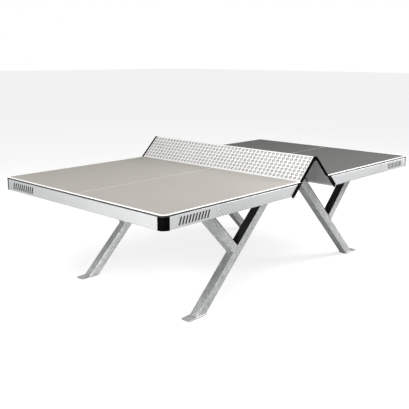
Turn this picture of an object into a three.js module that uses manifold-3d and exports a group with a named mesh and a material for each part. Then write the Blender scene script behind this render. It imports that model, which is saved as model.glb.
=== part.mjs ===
// Outdoor table tennis table: two laminate half tops on Y-shaped galvanised legs,
// with a solid net of two sheet leaves that lean together and meet at a rounded crest.
// Millimetres, +Z up. The origin is on the floor under the middle of the net:
// +X runs along the table towards the far half, Y across it.
import * as THREE from 'three';
import { mergeVertices } from 'three/addons/utils/BufferGeometryUtils.js';
import Module from 'manifold-3d';

// ---- driving dimensions ----
const TABLE_LENGTH = 2740;
const TABLE_WIDTH = 1525;
const SURFACE_HEIGHT = 760;
const LEAF_MEETING = 912.5; // height at which the playing sides of both leaves would meet
const SLOPE_ANGLE = THREE.MathUtils.degToRad(44.3); // net leaves, sloped beams and main leg bars
const GAP = 0.3; // left between pieces that touch

const TOP_THICKNESS = 9;
const CORNER_RADIUS = 45;
const CORNER_STEPS = 8;

const APRON_BOTTOM = 678.5;
const APRON_SHEET = 2.5;
const APRON_TOP_FLANGE = 30;
const APRON_BOTTOM_LIP = 14;

const CAP_WALL = 4;
const CAP_BELOW_APRON = 1;
const CAP_TONGUE = 28;
const CAP_TONGUE_SHEET = 2.5;

const LEAF_SHEET = 3;
const LEAF_BOTTOM = 695;
const LEAF_HALF_LENGTH = TABLE_WIDTH / 2 - GAP;
const NET_BEAM_DEPTH = 21.5;
const NET_BEAM_WALL = 2.5;
const NET_BEAM_END = -301; // lower end of the beam, measured along the slope
const RIDGE_WALL = 3;
const RIDGE_BOTTOM = 882;
const CREST_RADIUS = 16; // of the playing sides where the leaves bend over to meet
const CREST_STEPS = 6;

const TRIM_PLATE = 4; // end plate of a net trim or beam cap
const TRIM_FLANGE = 13;
const TRIM_FLANGE_SHEET = 2;
const TRIM_FOOT = 758.3;
const BEAM_CAP_TOP = 758;
const BEAM_CAP_PLUG = 12;
const BEAM_CAP_OVERHANG = 5; // past the leaf's inner side
const ROUND_STEPS = 10;

const RAIL_WIDTH = 60;
const RAIL_DEPTH = 40;
const RAIL_WALL = 3;
const RAIL_START = 244;
const RAIL_END = 1336;
const CROSS_WIDTH = 40;
const CROSS_DEPTH = 30;
const CROSS_POSITIONS = { inner: 520, middle: 890, outer: 1200 };

const LEG_Y = 526; // middle of a leg
const TUBE = 60;
const TUBE_WALL = 4;
const MAIN_BAR_UPPER = 644; // distance of the main bar's upper face from the origin, across the slope
const MAIN_BAR_TOP = 742;
const BRANCH_START = 118; // upper face of the branch, measured along the slope
const TOP_PLATE_LENGTH = 170;
const TOP_PLATE = 8;
const LINER = 2;
const FOOT_PLATE = 8;
const FOOT_INNER = 836;
const FOOT_OUTER = 980;
const FOOT_WIDTH = 68;
const FOOT_CORNER = 7;
const ANCHOR_X = 948;
const ANCHOR_RADIUS = 7;
const ANCHOR_STEPS = 16;

// ---- heights and planes that follow from them ----
const SIN = Math.sin(SLOPE_ANGLE);
const COS = Math.cos(SLOPE_ANGLE);
const HALF_LENGTH = TABLE_LENGTH / 2;
const HALF_WIDTH = TABLE_WIDTH / 2;
const TOP_UNDERSIDE = SURFACE_HEIGHT - TOP_THICKNESS;
const FRAME_TOP = TOP_UNDERSIDE - GAP;
const LEAF_OUTER = COS * LEAF_MEETING; // plane of a leaf's playing side
const LEAF_INNER = LEAF_OUTER - LEAF_SHEET;
const CREST_CENTRE = (LEAF_OUTER - CREST_RADIUS) / COS; // height of the bend's axis
const LEAF_END = (COS * LEAF_INNER - LEAF_BOTTOM) / SIN; // lower edge, measured along the slope
const BEAM_INNER = LEAF_OUTER + GAP;
const BEAM_OUTER = LEAF_OUTER + GAP + NET_BEAM_DEPTH;
const RAIL_BOTTOM = FRAME_TOP - RAIL_DEPTH;
const TOP_PLATE_UPPER = RAIL_BOTTOM - GAP;
const TOP_PLATE_LOWER = TOP_PLATE_UPPER - TOP_PLATE;

// ---- colours and finishes ----
const FINISH = {
  lightTop: { color: 0xbeb9b3, roughness: 0.55, metalness: 0 },
  darkTop: { color: 0x787875, roughness: 0.55, metalness: 0 },
  apron: { color: 0xd8dadb, roughness: 0.45, metalness: 0.4 },
  black: { color: 0x141414, roughness: 0.5, metalness: 0 },
  leaf: { color: 0xf0f0ee, roughness: 0.5, metalness: 0.1 },
  steel: { color: 0xb9bcbd, roughness: 0.5, metalness: 0.8 },
};

// ---- geometry helpers ----

// Slope coordinates of one half, in its XZ plane. The first is the distance across the slope,
// from the origin outwards and up; the second runs down along the slope.
function slopePoint(across, along) {
  return [SIN * across + COS * along, COS * across - SIN * along];
}

// The point at height z on a plane that lies along the slope.
function onSlopePlane(across, z) {
  return [(across - COS * z) / SIN, z];
}

// The point at height z on a plane square to the slope.
function onBranchPlane(along, z) {
  return [(along + SIN * z) / COS, z];
}

// Points as vectors, wound the way asked for.
function wound(points, clockwise) {
  const vectors = points.map(([a, b]) => new THREE.Vector2(a, b));
  return THREE.ShapeUtils.isClockWise(vectors) === clockwise ? vectors : vectors.reverse();
}

function outlineShape(points, ...holes) {
  const shape = new THREE.Shape(wound(points, false));
  shape.holes = holes.map((hole) => new THREE.Path(wound(hole, true)));
  return shape;
}

const AXES = {
  X: [new THREE.Vector3(0, 1, 0), new THREE.Vector3(0, 0, 1), new THREE.Vector3(1, 0, 0)],
  Y: [new THREE.Vector3(1, 0, 0), new THREE.Vector3(0, 0, 1), new THREE.Vector3(0, -1, 0)],
  Z: [new THREE.Vector3(1, 0, 0), new THREE.Vector3(0, 1, 0), new THREE.Vector3(0, 0, 1)],
};

// Extrudes a shape along a row axis, from low to high. Outlines are (y, z) for X, (x, z) for Y
// and (x, y) for Z.
function prism(axis, shape, low, high) {
  const geometry = new THREE.ExtrudeGeometry(shape, { depth: high - low, bevelEnabled: false, curveSegments: 4 });
  geometry.applyMatrix4(new THREE.Matrix4().makeBasis(...AXES[axis]));
  const start = axis === 'Y' ? high : low;
  geometry.translate(axis === 'X' ? start : 0, axis === 'Y' ? start : 0, axis === 'Z' ? start : 0);
  return geometry;
}

function outlinePrism(axis, points, low, high) {
  return prism(axis, outlineShape(points), low, high);
}

function arcPoints(centreA, centreB, radius, from, to, steps) {
  const points = [];
  for (let i = 0; i <= steps; i += 1) {
    const angle = from + ((to - from) * i) / steps;
    points.push([centreA + radius * Math.cos(angle), centreB + radius * Math.sin(angle)]);
  }
  return points;
}

// ---- solids ----
const wasm = await Module();
wasm.setup();

function solid(geometry) {
  const bare = geometry.clone();
  bare.deleteAttribute('normal');
  bare.deleteAttribute('uv');
  const merged = mergeVertices(bare);
  return new wasm.Manifold(new wasm.Mesh({
    numProp: 3,
    vertProperties: Float32Array.from(merged.attributes.position.array),
    triVerts: Uint32Array.from(merged.index.array),
  }));
}

function surface(body) {
  const result = body.getMesh();
  const geometry = new THREE.BufferGeometry();
  geometry.setAttribute('position', new THREE.BufferAttribute(result.vertProperties, 3));
  geometry.setIndex(new THREE.BufferAttribute(result.triVerts, 1));
  geometry.computeVertexNormals();
  return geometry;
}

function cut(geometry, ...tools) {
  return surface(tools.reduce((body, tool) => body.subtract(solid(tool)), solid(geometry)));
}

function join(geometry, ...others) {
  return surface(others.reduce((body, other) => body.add(solid(other)), solid(geometry)));
}

// Everything on the net's side of a plane along the slope, as wide as the table.
function netSideOf(across) {
  const points = [onSlopePlane(across, 1000), onSlopePlane(across, 500), [-600, 500], [-600, 1000]];
  return outlinePrism('Y', points, -HALF_WIDTH - 20, HALF_WIDTH + 20);
}

function piece(name, geometry, finish) {
  const mesh = new THREE.Mesh(geometry, new THREE.MeshStandardMaterial(FINISH[finish]));
  mesh.name = name;
  return mesh;
}

// ---- one half of the table, drawn on the +X side ----

// Laminate top: rounded at the outer corners, its net edge cut along the net leaf.
function halfTop() {
  const innerEdge = 100;
  const arcCentre = [HALF_LENGTH - CORNER_RADIUS, HALF_WIDTH - CORNER_RADIUS];
  const plan = [
    [innerEdge, -HALF_WIDTH],
    ...arcPoints(arcCentre[0], -arcCentre[1], CORNER_RADIUS, -Math.PI / 2, 0, CORNER_STEPS),
    ...arcPoints(arcCentre[0], arcCentre[1], CORNER_RADIUS, 0, Math.PI / 2, CORNER_STEPS),
    [innerEdge, HALF_WIDTH],
  ];
  return cut(outlinePrism('Z', plan, TOP_UNDERSIDE, SURFACE_HEIGHT), netSideOf(LEAF_OUTER + GAP));
}

// Section of an apron: a C with its web at `face`, opening towards the table's middle.
function apronSection(face) {
  const inside = Math.sign(face);
  return [
    [face, APRON_BOTTOM],
    [face, FRAME_TOP],
    [face - inside * APRON_TOP_FLANGE, FRAME_TOP],
    [face - inside * APRON_TOP_FLANGE, FRAME_TOP - APRON_SHEET],
    [face - inside * APRON_SHEET, FRAME_TOP - APRON_SHEET],
    [face - inside * APRON_SHEET, APRON_BOTTOM + APRON_SHEET],
    [face - inside * APRON_BOTTOM_LIP, APRON_BOTTOM + APRON_SHEET],
    [face - inside * APRON_BOTTOM_LIP, APRON_BOTTOM],
  ];
}

function endApron() {
  const reach = HALF_WIDTH - CORNER_RADIUS - GAP;
  return outlinePrism('Y', apronSection(HALF_LENGTH), -reach, reach);
}

function sideApron(side) {
  const blank = outlinePrism('X', apronSection(side * HALF_WIDTH), 100, HALF_LENGTH - CORNER_RADIUS - GAP);
  return cut(blank, netSideOf(BEAM_OUTER + GAP));
}

// Moulded corner: a quarter-round wall, a roof under the top, and a tongue behind each apron.
function cornerCap(side) {
  const x = HALF_LENGTH - CORNER_RADIUS;
  const y = side * (HALF_WIDTH - CORNER_RADIUS);
  const low = APRON_BOTTOM - CAP_BELOW_APRON;
  const quarter = (radius) => arcPoints(x, y, radius, 0, (side * Math.PI) / 2, CORNER_STEPS);
  const wall = [...quarter(CORNER_RADIUS), ...quarter(CORNER_RADIUS - CAP_WALL).reverse()];
  const roof = [...quarter(CORNER_RADIUS - 1), [x, y]];
  const tongueLow = APRON_BOTTOM + APRON_SHEET + 1;
  const tongueHigh = FRAME_TOP - APRON_SHEET - 1;
  const back = APRON_SHEET + GAP;
  const endTongue = [
    [HALF_LENGTH - back, y + side * 2],
    [HALF_LENGTH - back - CAP_TONGUE_SHEET, y + side * 2],
    [HALF_LENGTH - back - CAP_TONGUE_SHEET, y - side * CAP_TONGUE],
    [HALF_LENGTH - back, y - side * CAP_TONGUE],
  ];
  const sideTongue = [
    [x + 2, side * (HALF_WIDTH - back)],
    [x + 2, side * (HALF_WIDTH - back - CAP_TONGUE_SHEET)],
    [x - CAP_TONGUE, side * (HALF_WIDTH - back - CAP_TONGUE_SHEET)],
    [x - CAP_TONGUE, side * (HALF_WIDTH - back)],
  ];
  return join(
    outlinePrism('Z', wall, low, FRAME_TOP),
    outlinePrism('Z', roof, FRAME_TOP - APRON_SHEET, FRAME_TOP),
    outlinePrism('Z', endTongue, tongueLow, tongueHigh),
    outlinePrism('Z', sideTongue, tongueLow, tongueHigh),
  );
}

// Quarter of the crest's bend, from its top down to the slope, at a radius about the bend's axis.
function crestArc(radius) {
  const points = [[0, CREST_CENTRE + radius]];
  for (let k = 1; k <= CREST_STEPS; k += 1) {
    const turn = SLOPE_ANGLE * k / CREST_STEPS;
    points.push([radius * Math.sin(turn), CREST_CENTRE + radius * Math.cos(turn)]);
  }
  return points;
}

// Sheet leaf of the net, bent over at the crest. It carries on below the surface, between the
// sloped beam and the legs.
function netLeaf() {
  const outside = crestArc(CREST_RADIUS);
  const inside = crestArc(CREST_RADIUS - LEAF_SHEET);
  outside[0][0] = GAP / 2;
  inside[0][0] = GAP / 2;
  const points = [
    ...outside,
    slopePoint(LEAF_OUTER, LEAF_END),
    slopePoint(LEAF_INNER, LEAF_END),
    ...inside.reverse(),
  ];
  return outlinePrism('Y', points, -LEAF_HALF_LENGTH, LEAF_HALF_LENGTH);
}

// Hollow beam behind the leaf, under the top's net edge, with a lip below the leaf.
function netBeam() {
  const lipStart = LEAF_END + GAP;
  const section = [
    onSlopePlane(BEAM_INNER, FRAME_TOP),
    onSlopePlane(BEAM_OUTER, FRAME_TOP),
    slopePoint(BEAM_OUTER, NET_BEAM_END),
    slopePoint(LEAF_INNER, NET_BEAM_END),
    slopePoint(LEAF_INNER, lipStart),
    slopePoint(BEAM_INNER, lipStart),
  ];
  const bore = [
    onSlopePlane(BEAM_INNER + NET_BEAM_WALL, FRAME_TOP - NET_BEAM_WALL),
    onSlopePlane(BEAM_OUTER - NET_BEAM_WALL, FRAME_TOP - NET_BEAM_WALL),
    slopePoint(BEAM_OUTER - NET_BEAM_WALL, NET_BEAM_END - NET_BEAM_WALL),
    slopePoint(BEAM_INNER + NET_BEAM_WALL, NET_BEAM_END - NET_BEAM_WALL),
  ];
  return prism('Y', outlineShape(section, bore), -LEAF_HALF_LENGTH, LEAF_HALF_LENGTH);
}

// Round-ended plate over the end of a sloped beam, with a plug that fits inside it.
function beamCap(side) {
  const innerFace = LEAF_INNER - BEAM_CAP_OVERHANG;
  const outerFace = BEAM_OUTER;
  const radius = (outerFace - innerFace) / 2;
  const middle = (outerFace + innerFace) / 2;
  const end = arcPoints(0, 0, radius, 0, Math.PI, ROUND_STEPS)
    .map(([across, along]) => slopePoint(middle + across, NET_BEAM_END - 1 + along));
  const outline = [onSlopePlane(innerFace, BEAM_CAP_TOP), onSlopePlane(outerFace, BEAM_CAP_TOP), ...end];
  const inset = NET_BEAM_WALL + 0.5;
  const plug = [
    onSlopePlane(BEAM_INNER + inset, FRAME_TOP - inset),
    onSlopePlane(BEAM_OUTER - inset, FRAME_TOP - inset),
    slopePoint(BEAM_OUTER - inset, NET_BEAM_END - inset),
    slopePoint(BEAM_INNER + inset, NET_BEAM_END - inset),
  ];
  const plateSpan = [side * HALF_WIDTH, side * (HALF_WIDTH + TRIM_PLATE)].sort((a, b) => a - b);
  const plugSpan = [side * (HALF_WIDTH - BEAM_CAP_PLUG), side * (HALF_WIDTH + 1)].sort((a, b) => a - b);
  return join(outlinePrism('Y', outline, ...plateSpan), outlinePrism('Y', plug, ...plugSpan));
}

function tubeSection(centre, width, low, high, wall) {
  const rectangle = (inset) => [
    [centre - width / 2 + inset, low + inset],
    [centre + width / 2 - inset, low + inset],
    [centre + width / 2 - inset, high - inset],
    [centre - width / 2 + inset, high - inset],
  ];
  return outlineShape(rectangle(0), rectangle(wall));
}

// Rail under the top, running along the table over a pair of leg plates.
function sideRail(side) {
  return prism('X', tubeSection(side * LEG_Y, RAIL_WIDTH, RAIL_BOTTOM, FRAME_TOP, RAIL_WALL), RAIL_START, RAIL_END);
}

// Cross member under the top, between the two side rails.
function crossMember(position) {
  const reach = LEG_Y - RAIL_WIDTH / 2 - GAP;
  return prism('Y', tubeSection(position, CROSS_WIDTH, FRAME_TOP - CROSS_DEPTH, FRAME_TOP, RAIL_WALL), -reach, reach);
}

// ---- one leg, drawn about Y = 0 ----

// Square tube whose side view is the outline given by a function of the wall's inset.
function legTube(sideView) {
  const bore = outlinePrism('Y', sideView(TUBE_WALL, 30), -TUBE / 2 + TUBE_WALL, TUBE / 2 - TUBE_WALL);
  return cut(outlinePrism('Y', sideView(0, 0), -TUBE / 2, TUBE / 2), bore);
}

function mainBar() {
  return legTube((inset, overrun) => {
    const low = FOOT_PLATE + GAP - overrun;
    const high = MAIN_BAR_TOP + overrun;
    const upper = MAIN_BAR_UPPER - inset;
    const lower = MAIN_BAR_UPPER - TUBE + inset;
    return [onSlopePlane(lower, low), onSlopePlane(upper, low), onSlopePlane(upper, high), onSlopePlane(lower, high)];
  });
}

function branchBar() {
  return legTube((inset, overrun) => {
    const foot = MAIN_BAR_UPPER + GAP - overrun;
    const high = TOP_PLATE_LOWER - GAP + overrun;
    const near = BRANCH_START + inset;
    const far = BRANCH_START + TUBE - inset;
    return [slopePoint(foot, near), slopePoint(foot, far), onBranchPlane(far, high), onBranchPlane(near, high)];
  });
}

function topPlate() {
  const centre = onBranchPlane(BRANCH_START + TUBE / 2, TOP_PLATE_LOWER)[0];
  const box = new THREE.BoxGeometry(TOP_PLATE_LENGTH, TUBE, TOP_PLATE);
  box.translate(centre, 0, (TOP_PLATE_UPPER + TOP_PLATE_LOWER) / 2);
  return box;
}

// Folded black cover over the two upper faces inside the fork.
function forkLiner() {
  const onBar = MAIN_BAR_UPPER + GAP;
  const onBranch = BRANCH_START - GAP;
  const top = TOP_PLATE_LOWER - GAP;
  const points = [
    slopePoint(onBar, NET_BEAM_END + 6),
    slopePoint(onBar + LINER, NET_BEAM_END + 6),
    slopePoint(onBar + LINER, onBranch - LINER),
    onBranchPlane(onBranch - LINER, top),
    onBranchPlane(onBranch, top),
    slopePoint(onBar, onBranch),
  ];
  return outlinePrism('Y', points, -TUBE / 2 + 0.5, TUBE / 2 - 0.5);
}

// Pad between the main bar and the net's sloped panel.
function barPad() {
  const low = MAIN_BAR_UPPER + GAP;
  const high = LEAF_INNER - GAP;
  const bottom = NET_BEAM_END - 1;
  const points = [
    slopePoint(low, bottom),
    slopePoint(high, bottom),
    onSlopePlane(high, MAIN_BAR_TOP),
    onSlopePlane(low, MAIN_BAR_TOP),
  ];
  return outlinePrism('Y', points, -TUBE / 2 + 0.5, TUBE / 2 - 0.5);
}

// Base plate with rounded corners and one anchor hole in the tab that stands out past the bar.
function footPlate() {
  const halfWidth = FOOT_WIDTH / 2;
  const outer = FOOT_OUTER - FOOT_CORNER;
  const plan = [
    [FOOT_INNER, -halfWidth],
    ...arcPoints(outer, -halfWidth + FOOT_CORNER, FOOT_CORNER, -Math.PI / 2, 0, 4),
    ...arcPoints(outer, halfWidth - FOOT_CORNER, FOOT_CORNER, 0, Math.PI / 2, 4),
    [FOOT_INNER, halfWidth],
  ];
  const hole = arcPoints(ANCHOR_X, 0, ANCHOR_RADIUS, 0, 2 * Math.PI, ANCHOR_STEPS).slice(0, -1);
  return prism('Z', outlineShape(plan, hole), 0, FOOT_PLATE);
}

function leg(label) {
  const group = new THREE.Group();
  group.add(piece(`leg_main_bar_${label}`, mainBar(), 'steel'));
  group.add(piece(`leg_branch_${label}`, branchBar(), 'steel'));
  group.add(piece(`leg_top_plate_${label}`, topPlate(), 'steel'));
  group.add(piece(`leg_foot_plate_${label}`, footPlate(), 'steel'));
  group.add(piece(`leg_fork_liner_${label}`, forkLiner(), 'black'));
  group.add(piece(`leg_bar_pad_${label}`, barPad(), 'black'));
  return group;
}

// `turn` is 1 for the far half and -1 for the near half, which is the far one turned about Z.
function tableHalf(half, turn, topFinish) {
  const group = new THREE.Group();
  group.add(piece(`top_${half}`, halfTop(), topFinish));
  group.add(piece(`end_apron_${half}`, endApron(), 'apron'));
  group.add(piece(`net_leaf_${half}`, netLeaf(), 'leaf'));
  group.add(piece(`net_beam_${half}`, netBeam(), 'apron'));
  for (const [where, position] of Object.entries(CROSS_POSITIONS)) {
    group.add(piece(`cross_member_${half}_${where}`, crossMember(position), 'steel'));
  }
  for (const side of [-1, 1]) {
    const label = `${half}_${side * turn > 0 ? 'left' : 'right'}`;
    group.add(piece(`side_apron_${label}`, sideApron(side), 'apron'));
    group.add(piece(`corner_cap_${label}`, cornerCap(side), 'black'));
    group.add(piece(`net_beam_cap_${label}`, beamCap(side), 'black'));
    group.add(piece(`side_rail_${label}`, sideRail(side), 'steel'));
    const sideLeg = leg(label);
    sideLeg.position.y = side * LEG_Y;
    group.add(sideLeg);
  }
  group.rotation.z = turn > 0 ? 0 : Math.PI;
  return group;
}

// ---- pieces shared by both halves ----

// Outline that is symmetric about X = 0, from the points of its +X side in order. Points on the
// axis of symmetry count once.
function mirrored(points) {
  const opposite = points.filter(([x]) => x !== 0).map(([x, z]) => [-x, z]);
  return [...points, ...opposite.reverse()];
}

// Bent strip inside the crest that both leaves are fixed to.
function netRidge() {
  const outside = LEAF_INNER - GAP;
  const inside = outside - RIDGE_WALL;
  const radius = CREST_RADIUS - LEAF_SHEET - GAP;
  const reach = HALF_WIDTH - TRIM_FLANGE - 2 * GAP;
  const section = mirrored([
    ...crestArc(radius),
    onSlopePlane(outside, RIDGE_BOTTOM),
    onSlopePlane(inside, RIDGE_BOTTOM),
    ...crestArc(radius - RIDGE_WALL).reverse(),
  ]);
  return outlinePrism('Y', section, -reach, reach);
}

// Moulded trim over the ends of both leaves: an end plate, filled at the crest, and a flange on
// either side of the sheets.
function netTrim(side) {
  const outerFace = LEAF_OUTER + GAP + TRIM_FLANGE_SHEET;
  const innerFace = LEAF_INNER - GAP - TRIM_FLANGE_SHEET;
  const crest = crestArc(CREST_RADIUS + GAP + TRIM_FLANGE_SHEET);
  const span = (from, to) => [side * from, side * to].sort((a, b) => a - b);
  const plate = mirrored([
    ...crest,
    onSlopePlane(outerFace, TRIM_FOOT),
    onSlopePlane(innerFace, TRIM_FOOT),
    onSlopePlane(innerFace, RIDGE_BOTTOM),
  ]);
  const outerFlange = mirrored([
    ...crest,
    onSlopePlane(outerFace, SURFACE_HEIGHT + GAP),
    onSlopePlane(LEAF_OUTER + GAP, SURFACE_HEIGHT + GAP),
    ...crestArc(CREST_RADIUS + GAP).reverse(),
  ]);
  const innerFlange = mirrored([
    ...crestArc(CREST_RADIUS - LEAF_SHEET - GAP),
    onSlopePlane(LEAF_INNER - GAP, TRIM_FOOT),
    onSlopePlane(innerFace, TRIM_FOOT),
    onSlopePlane(innerFace, RIDGE_BOTTOM),
  ]);
  const flangeSpan = span(HALF_WIDTH - TRIM_FLANGE, HALF_WIDTH + 1);
  return join(
    outlinePrism('Y', plate, ...span(HALF_WIDTH, HALF_WIDTH + TRIM_PLATE)),
    outlinePrism('Y', outerFlange, ...flangeSpan),
    outlinePrism('Y', innerFlange, ...flangeSpan),
  );
}

const table = new THREE.Group();
table.add(tableHalf('near', -1, 'lightTop'));
table.add(tableHalf('far', 1, 'darkTop'));
table.add(piece('net_ridge', netRidge(), 'apron'));
table.add(piece('net_trim_left', netTrim(1), 'black'));
table.add(piece('net_trim_right', netTrim(-1), 'black'));

export default table;
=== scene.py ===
"""Looks of an outdoor ping pong table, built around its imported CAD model.

Everything is in metres in the row frame: +X runs towards the dark far half, +Y across the table,
+Z up. Each half is drawn once, as the far half, and the near half is that one turned about Z.
"""

import math

import bmesh
import bpy
from mathutils import Matrix, Vector


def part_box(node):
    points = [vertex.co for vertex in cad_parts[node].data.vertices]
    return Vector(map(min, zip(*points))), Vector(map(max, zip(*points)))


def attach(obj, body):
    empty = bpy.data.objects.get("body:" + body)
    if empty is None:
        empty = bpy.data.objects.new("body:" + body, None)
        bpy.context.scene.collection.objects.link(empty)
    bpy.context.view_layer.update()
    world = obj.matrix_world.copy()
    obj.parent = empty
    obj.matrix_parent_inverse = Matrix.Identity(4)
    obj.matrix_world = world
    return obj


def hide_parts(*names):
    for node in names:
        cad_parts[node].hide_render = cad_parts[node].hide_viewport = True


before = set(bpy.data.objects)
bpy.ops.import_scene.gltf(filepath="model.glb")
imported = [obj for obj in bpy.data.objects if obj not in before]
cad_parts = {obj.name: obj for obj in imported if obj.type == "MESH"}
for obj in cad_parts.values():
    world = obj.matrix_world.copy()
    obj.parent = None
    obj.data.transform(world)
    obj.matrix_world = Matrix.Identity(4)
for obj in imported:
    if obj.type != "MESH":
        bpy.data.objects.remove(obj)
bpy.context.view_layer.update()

# ---- sizes that the CAD nodes give ----
MM = 0.001
TOP_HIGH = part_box("top_far")[1]
HALF_LENGTH = TOP_HIGH.x
HALF_WIDTH = TOP_HIGH.y
SURFACE = TOP_HIGH.z
APRON_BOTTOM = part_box("end_apron_far")[0].z
FRAME_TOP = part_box("end_apron_far")[1].z
CAP_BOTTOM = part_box("corner_cap_far_left")[0].z
LEAF_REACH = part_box("net_leaf_far")[1].y
LEG_LOW, LEG_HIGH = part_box("leg_main_bar_far_left")
LEG_Y = (LEG_LOW.y + LEG_HIGH.y) / 2
TUBE = LEG_HIGH.y - LEG_LOW.y
BRANCH_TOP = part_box("leg_branch_far_left")[1].z
FOOT_LOW, FOOT_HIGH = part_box("leg_foot_plate_far_left")
PLATE_LOW, PLATE_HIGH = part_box("leg_top_plate_far_left")
RAIL_LOW, RAIL_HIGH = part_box("side_rail_far_left")
BEAM_CAP_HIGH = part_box("net_beam_cap_far_left")[1].z

# ---- sizes repeated from the CAD source ----
GAP = 0.3 * MM
SLOPE = math.radians(44.3)
SIN = math.sin(SLOPE)
COS = math.cos(SLOPE)
CORNER_RADIUS = 45 * MM
APRON_SHEET = 2.5 * MM
APRON_TOP_FLANGE = 30 * MM
APRON_LIP = 14 * MM
CAP_WALL = 4 * MM
CAP_TONGUE = 28 * MM
LEAF_SHEET = 3 * MM
LEAF_BOTTOM = 695 * MM
LEAF_MEETING = 912.5 * MM  # height at which the playing sides of both leaves would meet
LEAF_OUTER = COS * LEAF_MEETING
LEAF_INNER = LEAF_OUTER - LEAF_SHEET
LEAF_END = (COS * LEAF_INNER - LEAF_BOTTOM) / SIN
BEAM_INNER = LEAF_OUTER + GAP
BEAM_OUTER = BEAM_INNER + 21.5 * MM
BEAM_WALL = 2.5 * MM
BEAM_END = -301 * MM
TRIM_SHEET = 2 * MM
TRIM_FLANGE = 13 * MM
TRIM_PLATE = 4 * MM
TRIM_FOOT = 758.3 * MM
RIDGE_BOTTOM = 882 * MM
CREST_RADIUS = 16 * MM  # of the playing sides where the leaves bend over to meet
CREST_CENTRE = (LEAF_OUTER - CREST_RADIUS) / COS
BEAM_CAP_OVERHANG = 5 * MM
TUBE_WALL = 4 * MM
BAR_UPPER = 644 * MM
BAR_TOP = 742 * MM
BRANCH_START = 118 * MM
LINER = 2 * MM
FOOT_CORNER = 7 * MM
ANCHOR_X = 948 * MM
ANCHOR_RADIUS = 7 * MM
RAIL_WALL = 3 * MM
CROSS_POSITIONS = {"inner": 520 * MM, "middle": 890 * MM, "outer": 1200 * MM}

# ---- sizes that only the looks have ----
END_LINE = 20 * MM
CENTRE_LINE = 3 * MM
ARC_STEPS = 20
CREST_STEPS = 6
TUBE_CORNER = 4.5 * MM
RING_ROWS = 7
RING_COLUMNS = 45
RING_ROW_PITCH = 28 * MM
RING_COLUMN_PITCH = 33.2 * MM
RING_FIRST_ROW = 27 * MM  # along the slope from the line where both playing sides would meet
RING_OUTER = 9.3 * MM
RING_INNER = 5.0 * MM
RING_DEPTH = 0.9 * MM
RING_STEPS = 16
WELD = 3.6 * MM
TRIM_INSET = 0.05 * MM  # keeps the crest of the trims from rounding up past the CAD box

# ---- print on the aprons: rows are measured along an apron, from the net or the middle of the
# table, plus a lean that grows with height ----
BAR_PITCH = 24 * MM
BAR_LEAN = 0.35
BAR_GAP = 0.25  # share of the pitch, on each side of a bar
BARS_START = 53 * BAR_PITCH
BARS_END = 63 * BAR_PITCH
BARS_LOW = 692 * MM
BARS_HIGH = 736 * MM
END_BARS_SHIFT = 600 * MM  # moves the row of the side aprons to its place on an end apron
HATCH_HALF_PITCH = 12 * MM
HATCH_OUTER = 945 * MM
HATCH_FADED = 620 * MM
HATCH_FULL = 930 * MM
HATCH_SHARE = 0.34
DOT_HALF_PITCH = 6 * MM
DOT_RADIUS = 2.6 * MM
DOT_LEAN = -0.3
DOTS_INNER = 738 * MM
DOTS_OUTER = 762 * MM
DOT_SHARE = 0.7

# ---- colours ----
BLACK_INK = (0.012, 0.012, 0.013)
GREY_INK = (0.13, 0.135, 0.14)
LIGHT_GREY = (0.342, 0.324, 0.297)
DARK_GREY = (0.109, 0.1085, 0.1035)
SILVER = (0.65, 0.66, 0.665)
NET_WHITE = (0.65, 0.65, 0.637)
# near-black of the ring grooves: a dark coat, and painted shade inside the grooves
RING_BLACK_AND_SHADE = (0.012, 0.012, 0.012)
ZINC_LIGHT = (0.68, 0.685, 0.68)
ZINC_DARK = (0.42, 0.443, 0.462)
# zinc of the leaves' inner side, darker than the legs' zinc: painted shade inside the net's V
NET_BACK_SHADED_ZINC_LIGHT = (0.47, 0.475, 0.475)
NET_BACK_SHADED_ZINC_DARK = (0.42, 0.425, 0.425)


# ---- slope coordinates of one half, in its XZ plane ----


def slope_point(across, along):
    return SIN * across + COS * along, COS * across - SIN * along


def slope_x(across, z):
    """X at height z on a plane that lies along the slope."""
    return (across - COS * z) / SIN


def branch_x(along, z):
    """X at height z on a plane square to the slope."""
    return (along + SIN * z) / COS


def crest_arc(radius):
    """Half of the crest's bend, from its top down to the slope, at a radius about its axis."""
    turns = [SLOPE * k / CREST_STEPS for k in range(CREST_STEPS + 1)]
    return [(radius * math.sin(turn), CREST_CENTRE + radius * math.cos(turn)) for turn in turns]


# ---- materials ----


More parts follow.
